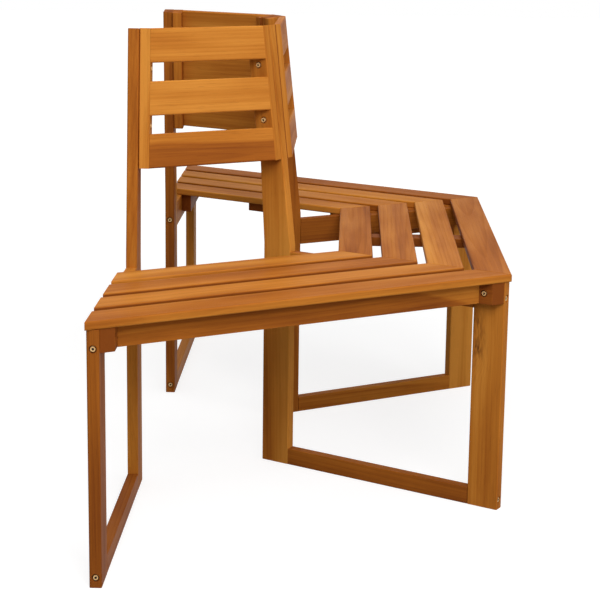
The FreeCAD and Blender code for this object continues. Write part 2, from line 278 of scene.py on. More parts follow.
class BoardSizes(bpy.types.PropertyGroup):
    """Edges of the boards and the bolts that hold them."""

    edge_ease: FloatProperty(
        name="Edge ease", description="Sanded bevel on sharp edges", default=0.0006,
        unit="LENGTH")
    slat_round: FloatProperty(
        name="Slat round", description="Radius of the long slat edges", default=0.003,
        unit="LENGTH")
    bolt_head: FloatProperty(
        name="Bolt head", description="Diameter of a bolt head", default=0.0085, unit="LENGTH")
    bolt_head_height: FloatProperty(
        name="Bolt head height", description="Height of a bolt head", default=0.006,
        unit="LENGTH")
    bolt_shank: FloatProperty(
        name="Bolt shank", description="Diameter of a bolt shank", default=0.006, unit="LENGTH")
    bolt_ease: FloatProperty(
        name="Bolt ease", description="Bevel on the edges of a bolt", default=0.0004,
        unit="LENGTH")
    socket_width: FloatProperty(
        name="Socket width", description="Key size of a bolt head", default=0.004, unit="LENGTH")
    socket_depth: FloatProperty(
        name="Socket depth", description="Depth of the key socket", default=0.0035,
        unit="LENGTH")
    bolt_sides: IntProperty(
        name="Bolt sides", description="Facets round a bolt head", default=32, min=12)


class Studio(bpy.types.PropertyGroup):
    """Camera, lamps and floor."""

    camera_place: FloatVectorProperty(
        name="Camera", description="Where the camera stands", subtype="TRANSLATION",
        unit="LENGTH", size=3, default=(-3.1945, -0.0532, 1.0576))
    camera_yaw: FloatProperty(
        name="Yaw", description="Turn of the camera to the left of +X", default=0.0293,
        subtype="ANGLE")
    camera_pitch: FloatProperty(
        name="Pitch", description="Tilt of the camera below the horizon", default=0.1994,
        subtype="ANGLE")
    camera_roll: FloatProperty(
        name="Roll", description="Roll of the camera", default=0.0134, subtype="ANGLE")
    lens: FloatProperty(
        name="Lens", description="Focal length on a 36 mm sensor", default=97.02,
        subtype="DISTANCE_CAMERA")
    shift: FloatProperty(
        name="Shift", description="Vertical lens shift, as a share of the image width",
        default=-0.10)
    key_power: FloatProperty(
        name="Key", description="Power of the main lamp", default=84.0, unit="POWER")
    fill_power: FloatProperty(
        name="Fill", description="Power of the side lamp", default=26.0, unit="POWER")
    top_power: FloatProperty(
        name="Top", description="Power of the overhead lamp", default=35.0, unit="POWER")
    sky: FloatProperty(
        name="Sky", description="Strength of the even light all round", default=0.20)
    floor_tone: FloatProperty(
        name="Floor tone", description="How pale the floor is", default=0.35, min=0.0, max=1.0)
    floor_glow: FloatProperty(
        name="Floor glow", default=0.78,
        description="White that the camera sees in the floor on top of its light")


class TreeBench(bpy.types.PropertyGroup):
    """All settings of the bench."""

    wood: PointerProperty(type=WoodLook, name="Wood", description="Oiled hardwood")
    sizes: PointerProperty(type=BoardSizes, name="Sizes", description="Edges and bolts")
    studio: PointerProperty(type=Studio, name="Studio", description="Camera, lamps and floor")


# Directions and measures of the CAD nodes


def heading(degrees):
    angle = math.radians(degrees)
    return Vector((math.cos(angle), math.sin(angle), 0.0))


def read_vectors(items, field):
    """A vector of every point or face of a mesh, as rows."""
    values = np.empty(len(items) * 3, np.float32)
    items.foreach_get(field, values)
    return values.reshape(-1, 3)


def node_points(node):
    return read_vectors(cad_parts[node].data.vertices, "co").astype(float)


def reach(node, direction):
    """Least and greatest distance of a node along a direction."""
    along = node_points(node) @ np.array(direction)
    return float(along.min()), float(along.max())


def box_middle(node):
    low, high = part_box(node)
    return (low + high) / 2.0


def slat_names(seat, part, count):
    return ["%s_%s_slat_%d" % (seat, part, number + 1) for number in range(count)]


def seat_axes(seat):
    """Outward, sideways and upward directions of a seat; sideways runs to its left end."""
    outward = heading(SEATS[seat][0])
    return outward, outward.cross(UP), UP


def back_axes(seat):
    """Downward, sideways and forward directions of a reclined back panel."""
    slats = slat_names(seat, "back", BACK_SLATS)
    down = (box_middle(slats[-1]) - box_middle(slats[0])).normalized()
    sideways = heading(SEATS[seat][0]).cross(UP)
    return down, sideways, sideways.cross(down)


def upright_axes(node, outward):
    """Lengthwise and crosswise directions of an upright board that leans in a leg frame."""
    points = node_points(node)
    line = Vector(np.linalg.svd(points - points.mean(0), full_matrices=False)[2][0])
    line *= math.copysign(1.0, line.z)
    line = (UP * line.z + outward * outward.dot(line)).normalized()
    return line, (outward - line * outward.dot(line)).normalized()


# Node trees


def set_sockets(tree, node, inputs):
    """Set or link a node's inputs by name or number."""
    for key, value in inputs.items():
        if isinstance(value, bpy.types.NodeSocket):
            tree.links.new(value, node.inputs[key])
        else:
            node.inputs[key].default_value = value


def add_node(tree, kind, inputs=None, **options):
    """Add a node, set its options, and set or link its inputs."""
    node = tree.nodes.new(kind)
    for option, value in options.items():
        setattr(node, option, value)
    set_sockets(tree, node, inputs or {})
    return node


def maths(tree, operation, first, second=0.0):
    return add_node(tree, "ShaderNodeMath", {0: first, 1: second}, operation=operation).outputs[0]


def sum_of(tree, first, second):
    return maths(tree, "ADD", first, second)


def product(tree, first, second):
    return maths(tree, "MULTIPLY", first, second)


def difference(tree, first, second):
    return maths(tree, "SUBTRACT", first, second)


def split(tree, vector):
    return add_node(tree, "ShaderNodeSeparateXYZ", {"Vector": vector}).outputs


def join(tree, **parts):
    return add_node(tree, "ShaderNodeCombineXYZ", parts).outputs[0]


def noise(tree, vector, kind):
    """Noise from 0 to 1 of one of the kinds in NOISES."""
    stretch, detail, roughness = NOISES[kind]
    stretched = add_node(tree, "ShaderNodeMapping", {"Vector": vector, "Scale": stretch})
    texture = add_node(tree, "ShaderNodeTexNoise", {
        "Vector": stretched.outputs["Vector"], "Scale": 1.0,
        "Detail": detail, "Roughness": roughness})
    return texture.outputs[0]


def remap(tree, value, low, high, new_low=0.0, new_high=1.0):
    return add_node(tree, "ShaderNodeMapRange", {
        "Value": value, "From Min": low, "From Max": high,
        "To Min": new_low, "To Max": new_high}).outputs[0]


def swing(tree, value, size):
    """Noise turned into a measure that swings about 0."""
    return remap(tree, value, *NOISE_MIDDLE, -size, size)


def mix_colour(tree, share, first, second):
    """Two colours mixed; the node has its colours at inputs 6 and 7 and at output 2."""
    inputs = {0: share, 6: first, 7: second}
    return add_node(tree, "ShaderNodeMix", inputs, data_type="RGBA").outputs[2]


def colour_ramp(tree, value, stops):
    ramp = add_node(tree, "ShaderNodeValToRGB", {"Fac": value})
    elements = ramp.color_ramp.elements
    while len(elements) < len(stops):
        elements.new(0.5)
    for element, (position, colour) in zip(elements, stops):
        element.position = position
        element.color = (*colour, 1.0)
    return ramp.outputs["Color"]


def relief(tree, height, strength, distance):
    return add_node(tree, "ShaderNodeBump", {
        "Height": height, "Strength": strength, "Distance": distance}).outputs["Normal"]


def attribute(tree, name, output):
    return add_node(tree, "ShaderNodeAttribute", attribute_name=name).outputs[output]


def object_place(tree):
    return add_node(tree, "ShaderNodeTexCoord").outputs["Object"]


# Materials


def new_material(name):
    """A material, its node tree and its shader."""
    material = bpy.data.materials.new(name)
    material.use_nodes = True
    tree = material.node_tree
    return material, tree, tree.nodes["Principled BSDF"]


def growth_rings(tree, grain, board, ring_width, knot=None):
    """Rings round a wavering heart line that runs slightly askew along the board."""
    across, depth = split(tree, grain)[1:]
    along = split(tree, board)[0]
    waver = remap(tree, noise(tree, grain, "ring_waver"), 0.0, 1.0, -HEART_WAVER, HEART_WAVER)
    slant = product(tree, along, HEART_SLANT)
    across = sum_of(tree, across, waver)
    depth = sum_of(tree, sum_of(tree, depth, slant), waver)
    square = sum_of(tree, product(tree, across, across), product(tree, depth, depth))
    radius = maths(tree, "SQRT", square)
    phase = product(tree, radius, 1.0 / ring_width)
    if knot is not None:
        phase = sum_of(tree, phase, product(tree, knot, KNOT_RINGS))
    saw = maths(tree, "FRACT", phase)
    late = maths(tree, "POWER", saw, LATE_WOOD)
    close = remap(tree, saw, RING_END, 1.0, 1.0, 0.0)
    return product(tree, late, close)


def knot_field(tree, board, places, length, width):
    """1 at the middle of each knot, falling to 0 around it."""
    along, across = split(tree, board)[:2]
    total = None
    for place_along, place_across in places:
        lengthwise = product(tree, difference(tree, along, place_along), 1.0 / length)
        crosswise = product(tree, difference(tree, across, place_across), 1.0 / width)
        square = sum_of(tree, product(tree, lengthwise, lengthwise),
                        product(tree, crosswise, crosswise))
        field = maths(tree, "EXPONENT", product(tree, square, -1.0))
        total = field if total is None else sum_of(tree, total, field)
    return total


def oiled_wood(name, tone_shift=0.0, knots=()):
    """Hardwood read from each board's own grain coordinates, so the figure runs along it."""
    look = settings().wood
    material, tree, shader = new_material(name)
    grain = attribute(tree, "grain", "Vector")
    # The tone attribute also carries the painted shade at stile seams and slat gaps
    tone = attribute(tree, "tone", "Fac")
    end_grain = attribute(tree, "end_grain", "Fac")
    board = attribute(tree, "board", "Vector")
    swirl = knot_field(tree, board, knots, *SWIRL_SIZE) if knots else None

    rings = growth_rings(tree, grain, board, look.ring_width, swirl)
    stripes = noise(tree, grain, "stripes")
    fibres = noise(tree, grain, "fibres")
    patches = noise(tree, grain, "patches")
    pores = remap(tree, noise(tree, grain, "pores"), *PORE_RANGE)

    figure = sum_of(tree, swing(tree, stripes, STRIPE_SWING), swing(tree, patches, PATCH_SWING))
    figure = product(tree, figure, remap(tree, tone, *FIGURE_BY_TONE))
    shade = sum_of(tree, sum_of(tree, tone, tone_shift), figure)
    shade = sum_of(tree, shade, swing(tree, fibres, FIBRE_SWING))
    shade = sum_of(tree, shade, product(tree, rings, RING_SHADE))
    shade = sum_of(tree, shade, product(tree, end_grain, END_GRAIN_SHADE))
    waver = swing(tree, noise(tree, grain, "sapwood_waver"), SAPWOOD_WAVER)
    sapwood = remap(tree, sum_of(tree, attribute(tree, "sap", "Fac"), waver), *SAPWOOD_EDGE)
    lightening = product(tree, sapwood, product(tree, tone, SAPWOOD_SHARE))
    shade = difference(tree, shade, lightening)
    colour = colour_ramp(tree, shade, (
        (PALE_AT, look.pale), (HONEY_AT, look.honey),
        (AMBER_AT, look.amber), (RUSSET_AT, look.russet)))
    darkening = product(tree, pores, PORE_SHADE)
    if knots:
        streaks = remap(tree, noise(tree, board, "knot_streaks"), *STREAK_SPREAD)
        heart = remap(tree, knot_field(tree, board, knots, *HEART_SIZE), *HEART_SPREAD)
        halo = remap(tree, swirl, *HALO_SPREAD)
        knot_dark = product(tree, streaks, maths(tree, "MAXIMUM", heart, halo))
        darkening = sum_of(tree, darkening, knot_dark)

    smoothest, roughest = look.roughness - ROUGH_SWING, look.roughness + ROUGH_SWING
    rough = sum_of(tree, remap(tree, patches, *ROUGH_RANGE, smoothest, roughest),
                   product(tree, rings, RING_ROUGH))
    height = sum_of(tree, product(tree, fibres, FIBRE_RELIEF), product(tree, pores, PORE_RELIEF))
    height = sum_of(tree, height, product(tree, rings, RING_RELIEF))
    set_sockets(tree, shader, {
        "Base Color": mix_colour(tree, darkening, colour, DARK_WOOD),
        "Roughness": sum_of(tree, rough, product(tree, end_grain, END_GRAIN_ROUGH)),
        "Normal": relief(tree, height, WOOD_RELIEF, look.bump),
        "Specular IOR Level": WOOD_SHEEN,
        "Coat Weight": look.coat,
        "Coat Roughness": COAT_ROUGH,
    })
    return material


def plated_metal(name, colour, rough, streak, metallic):
    """Plated fastener metal with fine scuffs, read from object coordinates."""
    material, tree, shader = new_material(name)
    place = object_place(tree)
    clouds = remap(tree, noise(tree, place, "plating_clouds"), *CLOUD_RANGE)
    scuffs = noise(tree, place, "plating_scuffs")
    dulled = [channel * CLOUD_DULL for channel in colour]
    tint = mix_colour(tree, clouds, (*colour, 1.0), (*dulled, 1.0))
    set_sockets(tree, shader, {
        # Faces inside a key socket take painted shade
        "Base Color": mix_colour(tree, attribute(tree, "recess", "Fac"), tint, SOCKET_PAINTED_SHADE),
        "Roughness": remap(tree, scuffs, *SCUFF_RANGE, rough - streak, rough + streak),
        "Normal": relief(tree, scuffs, *SCUFF_RELIEF),
        "Metallic": metallic,
    })
    return material


def bare_peg(name):
    """Unfinished beech-coloured pegs."""
    material, tree, shader = new_material(name)
    flecks = noise(tree, object_place(tree), "peg_flecks")
    set_sockets(tree, shader, {
        "Base Color": mix_colour(tree, remap(tree, flecks, *FLECK_RANGE), PEG_PALE, PEG_DARK),
        "Roughness": PEG_ROUGH,
        "Normal": relief(tree, flecks, *PEG_RELIEF),
    })
    return material


FINISHES = {
    "seat_boards": (oiled_wood, {}),
    "back_boards": (oiled_wood, {}),
    "frame_boards": (oiled_wood, {"tone_shift": 0.04}),
    "seat_supports": (oiled_wood, {"tone_shift": 0.06}),
    "knotted_leg": (oiled_wood, {"tone_shift": 0.04, "knots": KNOTS}),
    "bolts": (plated_metal, {
        "colour": (0.80, 0.50, 0.21), "rough": 0.42, "streak": 0.08, "metallic": 0.35}),
    "screws": (plated_metal, {
        "colour": (0.58, 0.57, 0.54), "rough": 0.40, "streak": 0.10, "metallic": 1.0}),
    "dowels": (bare_peg, {}),
}


def finish_material(key):
    """One material for each finish, made the first time it is asked for."""
    name = "bench_" + key
    if name in bpy.data.materials:
        return bpy.data.materials[name]
    make, options = FINISHES[key]
    return make(name, **options)


# Boards


def store(mesh, name, domain, values):
    """Keep a number or a vector for each point or face of a mesh."""
    kind, field = ("FLOAT_VECTOR", "vector") if values.ndim == 2 else ("FLOAT", "value")
    layer = mesh.attributes.new(name, kind, domain)
    layer.data.foreach_set(field, values.astype(np.float32).ravel())


def lay_grain(mesh, along, across, nodes, which, tones_and_shade):
    """Store what the wood reads: place in board and log, tone and painted shade, sapwood, end
    grain.

    Places are along, across and through the board in metres; which gives each point's board.
    """
    centres = np.array([box_middle(node) for node in nodes])[which]
    offsets = np.array([heart_offset(node) for node in nodes])[which]
    bands = [SAPWOOD.get(node, NO_SAPWOOD) for node in nodes]
    bands = np.array([(*way, -start) for way, start in bands])[which]
    axes = np.array([along, across, along.cross(across)])
    local = (read_vectors(mesh.vertices, "co") - centres) @ axes.T
    store(mesh, "board", "POINT", local)
    store(mesh, "grain", "POINT", local + offsets)
    store(mesh, "tone", "POINT", tones_and_shade)
    sap = local[:, 0] * bands[:, 0] + local[:, 1] * bands[:, 1] + bands[:, 2]
    store(mesh, "sap", "POINT", sap)
    ends = np.abs(read_vectors(mesh.polygons, "normal") @ axes[0]) > END_GRAIN_TURN
    store(mesh, "end_grain", "FACE", ends)


def turned_toward(mesh, direction):
    """How far each point's normal turns toward a direction, from -1 to 1."""
    return read_vectors(mesh.vertices, "normal") @ np.array(direction)


def ease_in(values, start, span):
    return np.clip((values - start) / span, 0.0, 1.0)


def board_tones(nodes):
    return np.array([BOARD_TONES.get(node, DEFAULT_TONE) for node in nodes])


def heart_offset(name):
    """Where a board was sawn from the log: a fixed draw for each board name."""
    draw = random.Random(name)
    side = draw.choice((-1.0, 1.0))
    along = draw.uniform(0.0, LOG_LENGTH)
    aside = draw.uniform(-HEART_ASIDE, HEART_ASIDE)
    return np.array((along, aside, side * draw.uniform(*HEART_AWAY)))


def smooth_edges(piece, width, segments, limit="ANGLE"):
    """Bevel the sharp edges of a piece, or its weighted ones, and keep its flat faces flat."""
    bevel = piece.modifiers.new("edges", "BEVEL")
    bevel.width = width
    bevel.segments = segments
    bevel.limit_method = limit
    bevel.angle_limit = math.radians(SHARP_ANGLE)
    bevel.use_clamp_overlap = False
    weighted = piece.modifiers.new("flats", "WEIGHTED_NORMAL")
    weighted.keep_sharp = False


def settle(piece):
    """Replace a piece's mesh with what its modifiers make of it, and clear them."""
    depsgraph = bpy.context.evaluated_depsgraph_get()
    made = bpy.data.meshes.new_from_object(piece.evaluated_get(depsgraph), depsgraph=depsgraph)
    made.name = piece.name
    piece.modifiers.clear()
    piece.data = made


def new_piece(name, mesh):
    piece = bpy.data.objects.new(name, mesh)
    bpy.context.scene.collection.objects.link(piece)
    return piece


def stand_for(piece, slot, *nodes):
    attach(piece, BODY)
    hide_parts(*nodes)


def welded(node):
    """A CAD node's mesh with its doubled points joined."""
    work = bmesh.new()
    work.from_mesh(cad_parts[node].data)
    bmesh.ops.remove_doubles(work, verts=work.verts, dist=WELD_DISTANCE)
    return work


def dress_board(node, slot, along, across, finish=None, seam=None):
    """A board with sanded edges and its own grain, in the place of a CAD board.

    Edges that turn toward the seam direction, where another board lies against it, are darker by
    painted shade for the groove between them.
    """
    mesh = bpy.data.meshes.new(node + "_board")
    work = welded(node)
    bmesh.ops.dissolve_limit(
        work, angle_limit=math.radians(FLAT_ANGLE), verts=work.verts, edges=work.edges)
    for face in work.faces:
        face.smooth = True
    work.to_mesh(mesh)
    work.free()
    piece = new_piece(node + "_board", mesh)
    smooth_edges(piece, settings().sizes.edge_ease, segments=2)
    settle(piece)
    which = np.zeros(len(piece.data.vertices), np.int32)
    tones_and_shade = board_tones([node])[which]
    # Painted shade in the groove where this board lies against another
    if seam is not None:
        tones_and_shade = tones_and_shade + SEAM_PAINTED_SHADE * ease_in(turned_toward(piece.data, seam), *SEAM_SHADE_TURN)
    lay_grain(piece.data, along, across, [node], which, tones_and_shade)
    piece.data.materials.clear()
    piece.data.materials.append(finish_material(finish or slot))
    stand_for(piece, slot, node)


# Geometry nodes


def new_group(name, inputs, output):
    """A geometry node group with its inputs and its one output."""
    tree = bpy.data.node_groups.new(name, "GeometryNodeTree")
    for label, kind in inputs.items():
        tree.interface.new_socket(name=label, in_out="INPUT", socket_type="NodeSocket" + kind)
    tree.interface.new_socket(name=output, in_out="OUTPUT", socket_type="NodeSocketGeometry")
    return tree, tree.nodes.new("NodeGroupInput").outputs


def end_group(tree, geometry, material):
    """Paint the geometry of a group and send it out."""
    painted = add_node(tree, "GeometryNodeSetMaterial", {
        "Geometry": geometry, "Material": material})
    result = tree.nodes.new("NodeGroupOutput")
    tree.links.new(painted.outputs["Geometry"], result.inputs[0])


def grow(piece, group, build, values):
    """Give a piece a geometry modifier and set its inputs by their socket identifiers."""
    if group not in bpy.data.node_groups:
        build(group)
    modifier = piece.modifiers.new(group, "NODES")
    modifier.node_group = bpy.data.node_groups[group]
    for item in modifier.node_group.interface.items_tree:
        if item.item_type == "SOCKET" and item.in_out == "INPUT" and item.name in values:
            modifier[item.identifier] = values[item.name]


def shade_smooth(tree, geometry):
    return add_node(tree, "GeometryNodeSetShadeSmooth", {
        "Geometry": geometry, "Shade Smooth": True}).outputs["Geometry"]


def slat_tree(group):
    """Geometry nodes for a run of slats whose ends follow two slanting lines."""
    tree, given = new_group(group, {
        "Count": "Int", "Width": "Float", "Gap": "Float", "Thickness": "Float",
        "First edge": "Float", "Base": "Float",
        "Right at zero": "Float", "Right slopes": "Vector",
        "Left at zero": "Float", "Left slopes": "Vector",
        "End edge weight": "Float", "Turn": "Vector", "Material": "Material"}, "Slats")

    pitch = sum_of(tree, given["Width"], given["Gap"])
    middle = sum_of(tree, given["First edge"], product(tree, given["Width"], 0.5))
    level = sum_of(tree, given["Base"], product(tree, given["Thickness"], 0.5))
    row = add_node(tree, "GeometryNodeMeshLine", {
        "Count": given["Count"], "Start Location": join(tree, Y=middle, Z=level),
        "Offset": join(tree, Y=pitch)}, mode="OFFSET")
    size = join(tree, X=BLANK_LENGTH, Y=given["Width"], Z=given["Thickness"])
    cube = add_node(tree, "GeometryNodeMeshCube", {"Size": size})
    blank = shade_smooth(tree, cube.outputs["Mesh"])
    number = tree.nodes.new("GeometryNodeInputIndex").outputs[0]
    numbered = add_node(tree, "GeometryNodeStoreNamedAttribute", {
        "Geometry": row.outputs["Mesh"], "Name": "slat", "Value": number},
        data_type="INT", domain="POINT")
    placed = add_node(tree, "GeometryNodeInstanceOnPoints", {
        "Points": numbered.outputs["Geometry"], "Instance": blank})
    boards = add_node(tree, "GeometryNodeRealizeInstances", {
        "Geometry": placed.outputs["Instances"]})

    # Long edges are rounded in full, end edges by their weight
    ends = tree.nodes.new("GeometryNodeInputMeshEdgeVertices").outputs
    first, second = (split(tree, ends["Position %d" % end])[0] for end in (1, 2))
    run = maths(tree, "ABSOLUTE", difference(tree, first, second))
    is_long = maths(tree, "GREATER_THAN", run, BLANK_LENGTH / 2.0)
    weight = maths(tree, "MAXIMUM", is_long, given["End edge weight"])
    weighted = add_node(tree, "GeometryNodeStoreNamedAttribute", {
        "Geometry": boards.outputs["Geometry"], "Name": "bevel_weight_edge", "Value": weight},
        data_type="FLOAT", domain="EDGE")

    # The blanks are cut to length by moving their ends onto the two lines
    spot = tree.nodes.new("GeometryNodeInputPosition").outputs[0]
    parts = split(tree, spot)
    limits = []
    for side in ("Right", "Left"):
        slant = add_node(tree, "ShaderNodeVectorMath", {
            0: given[side + " slopes"], 1: spot}, operation="DOT_PRODUCT")
        limits.append(sum_of(tree, given[side + " at zero"], slant.outputs["Value"]))
    share = remap(tree, parts[0], -BLANK_LENGTH / 2.0, BLANK_LENGTH / 2.0)
    length = difference(tree, limits[1], limits[0])
    along = sum_of(tree, limits[0], product(tree, share, length))
    cut = add_node(tree, "GeometryNodeSetPosition", {
        "Geometry": weighted.outputs["Geometry"],
        "Position": join(tree, X=along, Y=parts[1], Z=parts[2])})
    turn = add_node(tree, "FunctionNodeEulerToRotation", {0: given["Turn"]})
    turned = add_node(tree, "GeometryNodeTransform", {
        "Geometry": cut.outputs["Geometry"], "Rotation": turn.outputs[0]})
    end_group(tree, turned.outputs["Geometry"], given["Material"])


def end_line(node, leg_frame, side, axes):
    """Where a slat end lies along the slat, as a start and slopes over the slat's own three axes.

    The end is cut on a plane parallel to a leg frame. Side is 1 if the frame stands beyond the
    end in turning order, and 0 if it stands before it.
    """
    square = heading(LEG_FRAMES[leg_frame] + 90.0)
    place = reach(node, square)[side]
    along, across, normal = (square.dot(axis) for axis in axes)
    return place / along, (0.0, -across / along, -normal / along)


def slat_run(name, nodes, slot, leg_frames, across, along, normal, painted_gap_shade=0.0):
    """Slats that stand for a row of CAD slats between two leg frames, measured from them.

    The edges that face another slat are darker by painted shade for the gap between them.
    """
    sizes = settings().sizes
    edges = [reach(node, across) for node in nodes]
    level = reach(nodes[0], normal)
    left, right = (end_line(nodes[0], leg_frame, side, (along, across, normal))
                   for side, leg_frame in enumerate(leg_frames))
    turn = Matrix((along, across, normal)).transposed().to_euler()
    piece = new_piece(name, bpy.data.meshes.new(name))
    grow(piece, "slat_run", slat_tree, {
        "Count": len(nodes),
        "Width": edges[0][1] - edges[0][0],
        "Gap": edges[1][0] - edges[0][1],
        "Thickness": level[1] - level[0],
        "First edge": edges[0][0],
        "Base": level[0],
        "Right at zero": right[0],
        "Right slopes": right[1],
        "Left at zero": left[0],
        "Left slopes": left[1],
        "End edge weight": sizes.edge_ease / sizes.slat_round,
        "Turn": list(turn),
        "Material": finish_material(slot),
    })
    smooth_edges(piece, sizes.slat_round, segments=4, limit="WEIGHT")
    settle(piece)
    mesh = piece.data
    slat = np.empty(len(mesh.vertices), np.int32)
    mesh.attributes["slat"].data.foreach_get("value", slat)
    # Painted shade on the edges that face into a gap between slats
    facing = turned_toward(mesh, across)
    inward = np.where(facing > 0.0, slat < len(nodes) - 1, slat > 0)
    shaded = inward * ease_in(np.abs(facing), *SLAT_GAP_SHADE_TURN)
    tones_and_shade = board_tones(nodes)[slat] + painted_gap_shade * shaded
    lay_grain(mesh, along, across, nodes, slat, tones_and_shade)
    stand_for(piece, slot, *nodes)


# Bolts


def loose_solids(node):
    """Points of each separate solid in a node."""
    work = welded(node)
    waiting = set(work.verts)
    groups = []
    while waiting:
        first = min(waiting, key=lambda vertex: vertex.index)
        waiting.discard(first)
        open_ends, group = [first], []
        while open_ends:
            vertex = open_ends.pop()
            group.append(vertex.co.copy())
            for edge in vertex.link_edges:
                other = edge.other_vert(vertex)
                if other in waiting:
                    waiting.discard(other)
                    open_ends.append(other)
        groups.append(np.array(group))
    work.free()
    return groups


def bolt_line(points):
    """Tip of a level bolt, direction from tip to head, and length."""
    run = np.linalg.svd(points - points.mean(0))[2][0]
    degrees = BOLT_STEP * round(math.degrees(math.atan2(run[1], run[0])) / BOLT_STEP)
    axes = np.array((heading(degrees), heading(degrees + 90.0), UP))
    local = points @ axes.T
    low, high = local.min(0), local.max(0)
    middle = (low + high) / 2.0
    wide = np.linalg.norm(local[:, 1:] - middle[1:], axis=1)
    length = high[0] - low[0]
    if local[wide > wide.max() * HEAD_SHARE, 0].mean() > middle[0]:
        return np.array((low[0], middle[1], middle[2])) @ axes, axes[0], length
    return np.array((high[0], middle[1], middle[2])) @ axes, -axes[0], length


def bolt_tree(group):
    """Geometry nodes that set one socket-head bolt on every point, along its stored direction."""
    tree, given = new_group(group, {
        "Places": "Geometry", "Head diameter": "Float", "Head height": "Float",
        "Shank diameter": "Float", "Length": "Float", "Socket width": "Float",
        "Socket depth": "Float", "Sides": "Int", "Material": "Material"}, "Bolts")

    def cylinder(sides, diameter, height, base):
        made = add_node(tree, "GeometryNodeMeshCylinder", {
            "Vertices": sides, "Radius": product(tree, diameter, 0.5), "Depth": height})
        rise = sum_of(tree, base, product(tree, height, 0.5))
        return add_node(tree, "GeometryNodeTransform", {
            "Geometry": made.outputs["Mesh"],
            "Translation": join(tree, Z=rise)}).outputs["Geometry"]

    shank_length = difference(tree, given["Length"], given["Head height"])
    head = cylinder(given["Sides"], given["Head diameter"], given["Head height"], shank_length)
    # The key is a hexagon, measured across its flats and made across its corners. It stands out
    # of the head by as much as it goes in.
    key_size = product(tree, given["Socket width"], 1.0 / math.cos(math.radians(30.0)))
    floor_level = difference(tree, given["Length"], given["Socket depth"])
    key = cylinder(6, key_size, product(tree, given["Socket depth"], 2.0), floor_level)
    socketed = add_node(tree, "GeometryNodeMeshBoolean", {
        "Mesh 1": head, "Mesh 2": key}, operation="DIFFERENCE")
    shank = cylinder(given["Sides"], given["Shank diameter"], shank_length, 0.0)
    bolt = tree.nodes.new("GeometryNodeJoinGeometry")
    tree.links.new(socketed.outputs["Mesh"], bolt.inputs[0])
    tree.links.new(shank, bolt.inputs[0])
    aim = add_node(tree, "GeometryNodeInputNamedAttribute", {"Name": "aim"},
                   data_type="FLOAT_VECTOR")
    turn = add_node(tree, "FunctionNodeAlignRotationToVector", {"Vector": aim.outputs[0]},
                    axis="Z")
    placed = add_node(tree, "GeometryNodeInstanceOnPoints", {
        "Points": given["Places"], "Instance": shade_smooth(tree, bolt.outputs[0]),
        "Rotation": turn.outputs[0]})
    real = add_node(tree, "GeometryNodeRealizeInstances", {
        "Geometry": placed.outputs["Instances"]})
    end_group(tree, real.outputs["Geometry"], given["Material"])


def mark_sockets(mesh, lines):
    """Flag the faces inside the key sockets, which take painted shade."""
    sizes = settings().sizes
    centres = read_vectors(mesh.polygons, "center")
    inside = np.zeros(len(centres), bool)
    for tip, aim, length in lines:
        off = centres - tip
        depth = length - off @ aim
        radius = np.linalg.norm(off - np.outer(off @ aim, aim), axis=1)
        sunk = (depth > SOCKET_SKIN) & (depth < sizes.socket_depth + SOCKET_SKIN)
        inside |= (radius < sizes.socket_width * SOCKET_REACH) & sunk
    store(mesh, "recess", "FACE", inside)


def dress_bolts(node):
    """Socket-head bolts on the lines of a CAD bolt group."""
    sizes = settings().sizes
    lines = [bolt_line(points) for points in loose_solids(node)]
    tips, aims, lengths = (list(values) for values in zip(*lines))
    mesh = bpy.data.meshes.new(node + "_set")
    mesh.from_pydata(tips, [], [])
    store(mesh, "aim", "POINT", np.array(aims))
    piece = new_piece(node + "_set", mesh)
    grow(piece, "socket_bolts", bolt_tree, {
        "Head diameter": sizes.bolt_head,
        "Head height": sizes.bolt_head_height,
        "Shank diameter": sizes.bolt_shank,
        "Length": float(np.mean(lengths)),
        "Socket width": sizes.socket_width,
        "Socket depth": sizes.socket_depth,
        "Sides": sizes.bolt_sides,
        "Material": finish_material("bolts"),
    })
    smooth_edges(piece, sizes.bolt_ease, segments=2)
    settle(piece)
    mark_sockets(piece.data, lines)
    stand_for(piece, "bolts", node)


# Operators


class TREEBENCH_OT_leg_frames(bpy.types.Operator):
    """Dress the legs, posts and rails of the four leg frames"""

    bl_idname = "tree_bench.leg_frames"
    bl_label = "Leg frames"

    def execute(self, context):
        for name, degrees in LEG_FRAMES.items():
            outward = heading(degrees)
            leg, post = name + "_leg", name + "_post"
            finish = "knotted_leg" if leg == KNOTTED_BOARD else None
            dress_board(leg, "frame_boards", UP, outward, finish)
            dress_board(post, "frame_boards", *upright_axes(post, outward))
            dress_board(name + "_top_rail", "frame_boards", outward, UP)
            dress_board(name + "_bottom_rail", "frame_boards", outward, UP)
        return {"FINISHED"}


class TREEBENCH_OT_seat_slats(bpy.types.Operator):
    """Lay the mitred slats of the three seats"""

    bl_idname = "tree_bench.seat_slats"
    bl_label = "Seat slats"

    def execute(self, context):
        for seat in SEATS:
            slat_run(seat + "_seat_slats", slat_names(seat, "seat", SEAT_SLATS), "seat_boards",
                     SEATS[seat][1:], *seat_axes(seat), painted_gap_shade=SLAT_GAP_PAINTED_SHADE)
        return {"FINISHED"}


class TREEBENCH_OT_seat_supports(bpy.types.Operator):
    """Dress the cleats, aprons and battens under the seats"""

    bl_idname = "tree_bench.seat_supports"
    bl_label = "Seat supports"

    def execute(self, context):
        for seat in SEATS:
            outward, sideways, upward = seat_axes(seat)
            for side, leg_frame in zip(SIDES, SEATS[seat][1:]):
                cleat = "%s_seat_%s_cleat" % (seat, side)
                dress_board(cleat, "seat_supports", heading(LEG_FRAMES[leg_frame]), upward)
            dress_board(seat + "_seat_apron", "seat_supports", sideways, upward)
            dress_board(seat + "_seat_batten", "seat_supports", outward, sideways)
        return {"FINISHED"}


